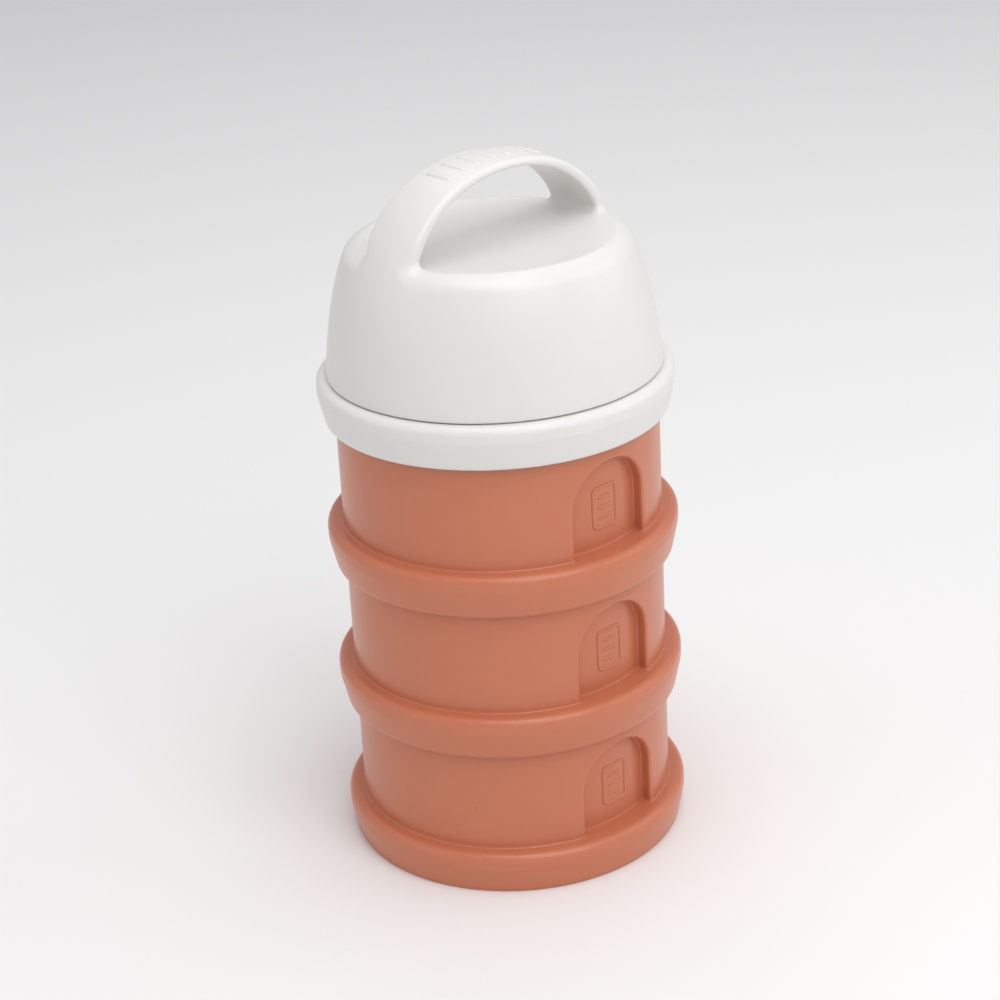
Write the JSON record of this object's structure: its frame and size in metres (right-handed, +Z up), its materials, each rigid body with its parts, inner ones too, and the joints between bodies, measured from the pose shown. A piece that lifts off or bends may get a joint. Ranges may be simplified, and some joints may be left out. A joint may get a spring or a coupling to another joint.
{
  "type": "formula dispenser",
  "caption": "Stackable powder dispenser: screw-together cups with flange skirts, a funnel collar with a spout, and a domed cap with a strap handle.",
  "frame": {"origin": "centre of the base, on the plane that the lower cup's skirt stands on", "axes": "+Z up along the stack's screw axis; -Y is the front, where the arch recesses and the open side of the handle face; the strap handle runs along X"},
  "size_m": [0.088, 0.088, 0.1774],
  "materials": {
    "cup_plastic": "satin moulded",
    "white_plastic": "satin moulded",
    "silicone": "soft matt"
  },
  "bodies": {
    "lower_cup": {"lower_cup": "cup_plastic", "lower_seal": "silicone"},
    "middle_lift": {"middle_seal": "silicone"},
    "middle_cup": {"middle_cup": "cup_plastic"},
    "upper_lift": {"upper_seal": "silicone"},
    "upper_cup": {"upper_cup": "cup_plastic"},
    "collar_lift": {"collar_seal": "silicone"},
    "pour_collar": {"pour_collar": "white_plastic"},
    "cap_lift": {"cap_seal": "silicone"},
    "carry_cap": {"carry_cap": "white_plastic"}
  },
  "joints": [
    {"name": "middle_rise", "type": "slide", "parent": "lower_cup", "child": "middle_lift", "axis": [0, 0, 1], "range_m": [0, 0.048]},
    {"name": "middle_turn", "type": "hinge", "parent": "middle_lift", "child": "middle_cup", "pos_m": [0, 0, 0.038], "axis": [0, 0, 1], "range_deg": [0, 720]},
    {"name": "upper_rise", "type": "slide", "parent": "middle_cup", "child": "upper_lift", "axis": [0, 0, 1], "range_m": [0, 0.048]},
    {"name": "upper_turn", "type": "hinge", "parent": "upper_lift", "child": "upper_cup", "pos_m": [0, 0, 0.076], "axis": [0, 0, 1], "range_deg": [0, 720]},
    {"name": "collar_rise", "type": "slide", "parent": "upper_cup", "child": "collar_lift", "axis": [0, 0, 1], "range_m": [0, 0.048]},
    {"name": "collar_turn", "type": "hinge", "parent": "collar_lift", "child": "pour_collar", "pos_m": [0, 0, 0.114], "axis": [0, 0, 1], "range_deg": [0, 720]},
    {"name": "cap_rise", "type": "slide", "parent": "pour_collar", "child": "cap_lift", "axis": [0, 0, 1], "range_m": [0, 0.048]},
    {"name": "cap_turn", "type": "hinge", "parent": "cap_lift", "child": "carry_cap", "pos_m": [0, 0, 0.125], "axis": [0, 0, 1], "range_deg": [0, 720]}
  ],
  "couplings": [
    {"joint": "middle_rise", "follows": "middle_turn", "m_per_rad": 0.0038197},
    {"joint": "upper_rise", "follows": "upper_turn", "m_per_rad": 0.0038197},
    {"joint": "collar_rise", "follows": "collar_turn", "m_per_rad": 0.0038197},
    {"joint": "cap_rise", "follows": "cap_turn", "m_per_rad": 0.0038197}
  ]
}
